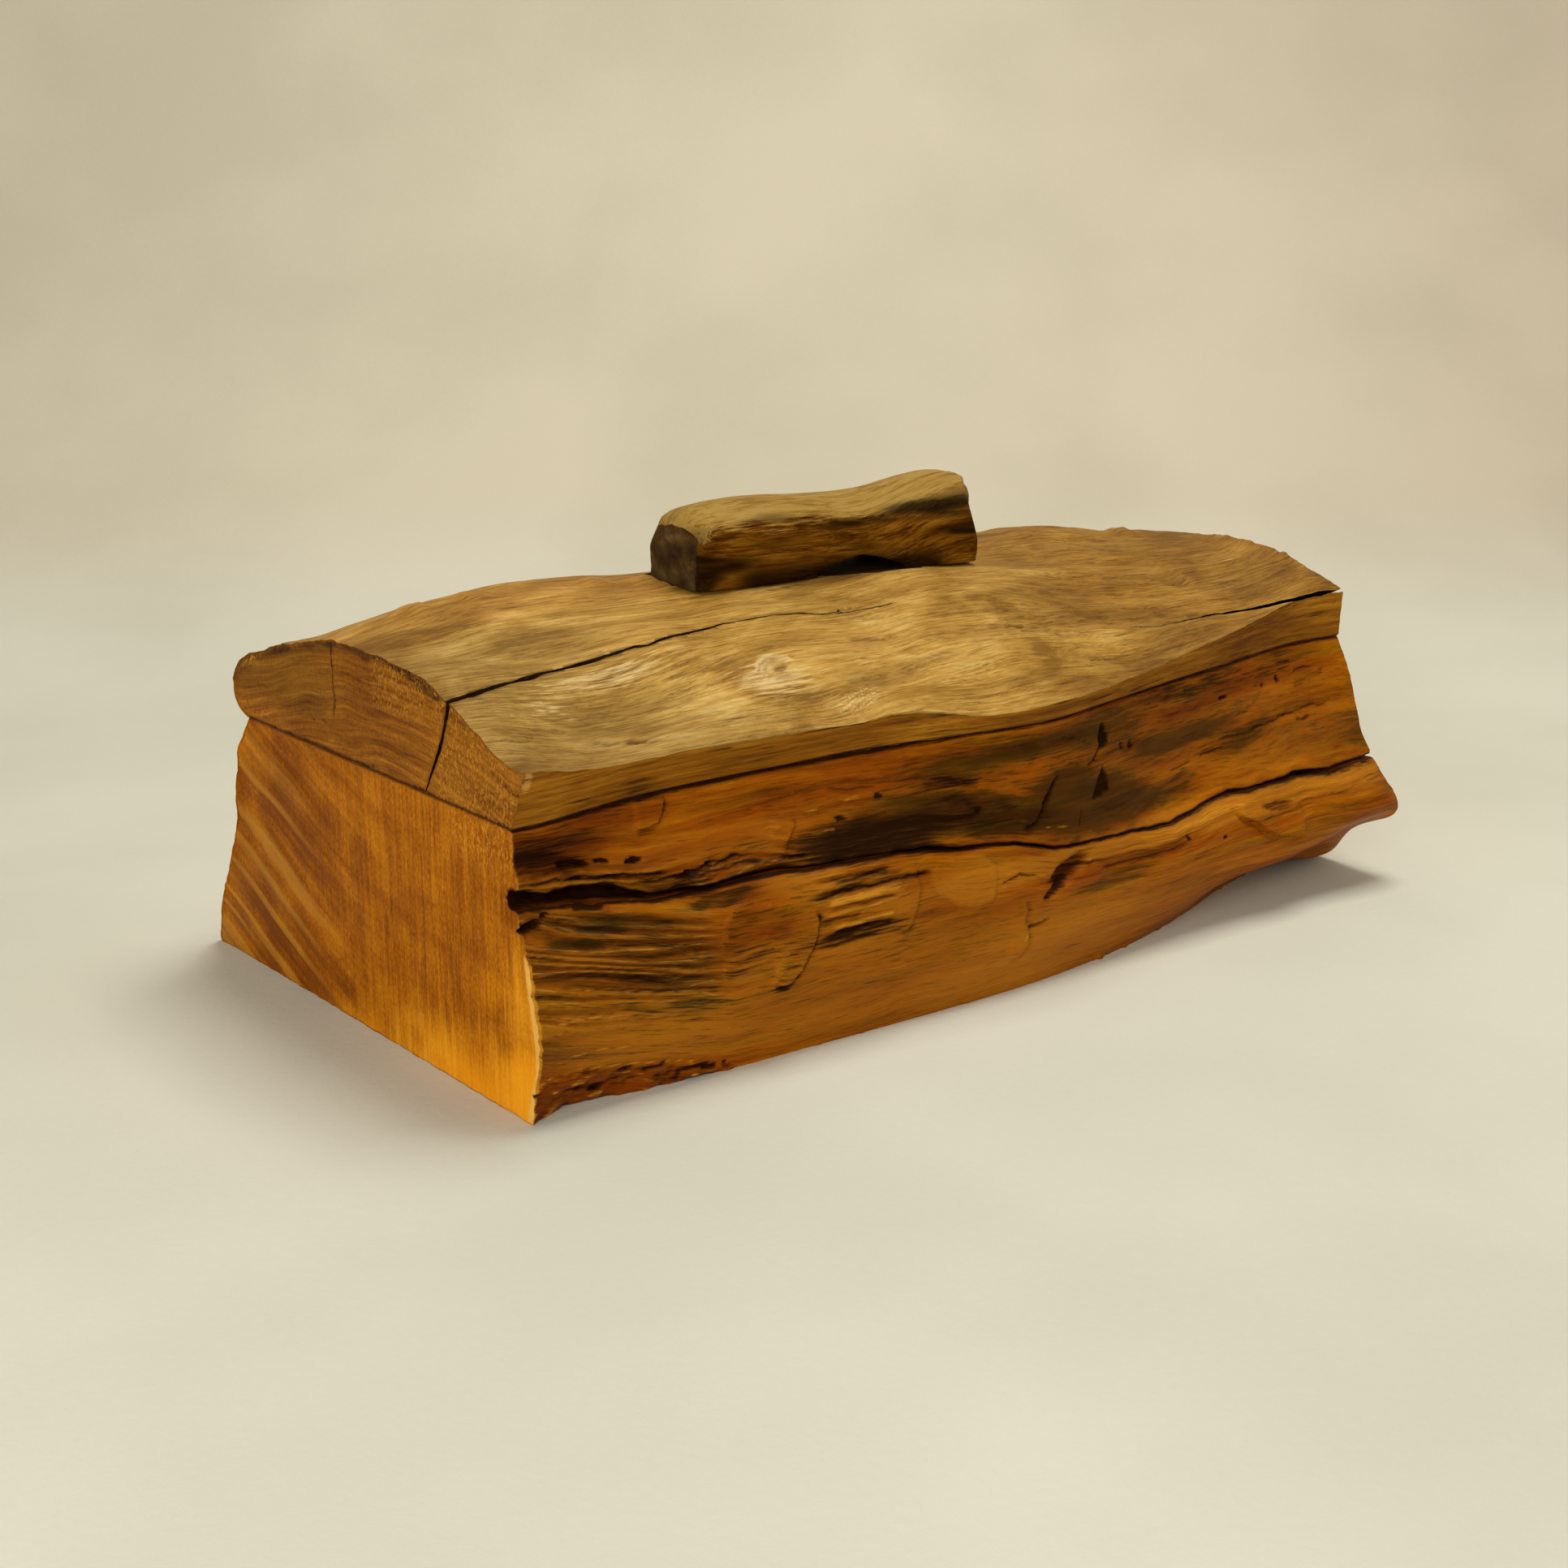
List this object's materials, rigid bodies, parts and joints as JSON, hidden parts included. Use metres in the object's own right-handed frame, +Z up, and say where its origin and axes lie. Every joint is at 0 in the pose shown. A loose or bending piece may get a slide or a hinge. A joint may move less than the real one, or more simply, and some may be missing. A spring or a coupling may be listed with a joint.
{
  "type": "natural-edge wooden box",
  "caption": "Natural-edge log box: a hollowed block with sawn ends and a let-in base, closed by a lift-off slab lid with a branch-wood handle.",
  "frame": {"origin": "middle of the flat foot that the box stands on", "axes": "+X along the log to the right, +Y from the front face to the back, +Z up"},
  "size_m": [0.331, 0.1941, 0.138],
  "materials": {
    "body_wood": "oiled orange-brown cherry wood with a natural under-bark face and sawn end grain",
    "panel_wood": "planed and oiled plain board",
    "lid_wood": "weathered grey-gold wood, lightly oiled",
    "cleat_wood": "planed and oiled plain board",
    "handle_wood": "dark streaked branch wood with a worn grey-tan top",
    "screw_metal": "plain zinc-plated steel"
  },
  "bodies": {
    "box": {"box_body": "body_wood", "base_panel": "panel_wood", "base_panel_screws": "screw_metal"},
    "lid": {"lid_slab": "lid_wood", "lid_cleat_left": "cleat_wood", "lid_cleat_right": "cleat_wood", "lid_cleat_screws": "screw_metal", "handle_grip": "handle_wood", "handle_screws": "screw_metal", "handle_washers": "screw_metal"}
  },
  "joints": [
    {"name": "lid_lift", "type": "slide", "parent": "box", "child": "lid", "axis": [0, 0, 1], "range_m": [0, 0.12]}
  ]
}
